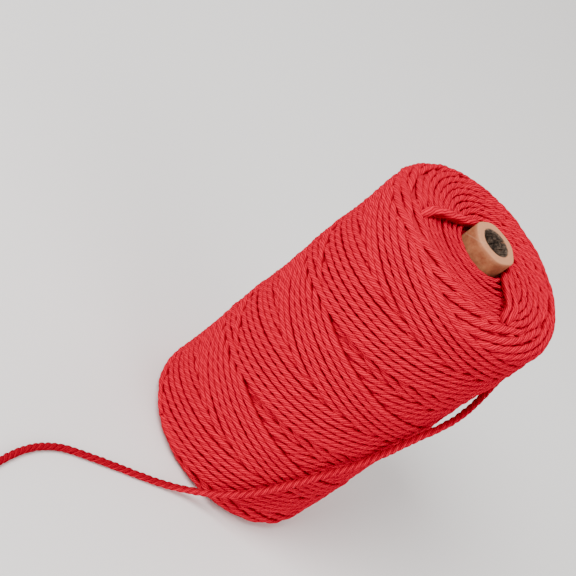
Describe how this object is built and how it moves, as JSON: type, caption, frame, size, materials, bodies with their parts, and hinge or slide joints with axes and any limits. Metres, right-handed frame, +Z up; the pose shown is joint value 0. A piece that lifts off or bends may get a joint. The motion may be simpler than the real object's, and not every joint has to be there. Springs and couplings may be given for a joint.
{
  "type": "roll of cotton cord",
  "caption": "Cross-wound cylindrical roll of twisted cotton cord on a paper tube, standing on its flat end, with one loose end trailing.",
  "frame": {"origin": "centre of the winding's flat base, on the tube's axis, at the surface that the roll stands on", "axes": "+Z up along the tube's axis, -Y to the front, where the loose end trails off, +X to the right"},
  "size_m": [0.0959, 0.2036, 0.1602],
  "materials": {
    "cotton_cord": "matt twisted cotton, bright red",
    "kraft_tube": "plain brown kraft paper, worn at the edges"
  },
  "bodies": {
    "root": {"winding": "cotton_cord", "core_tube": "kraft_tube", "loose_end": "cotton_cord"}
  },
  "joints": []
}
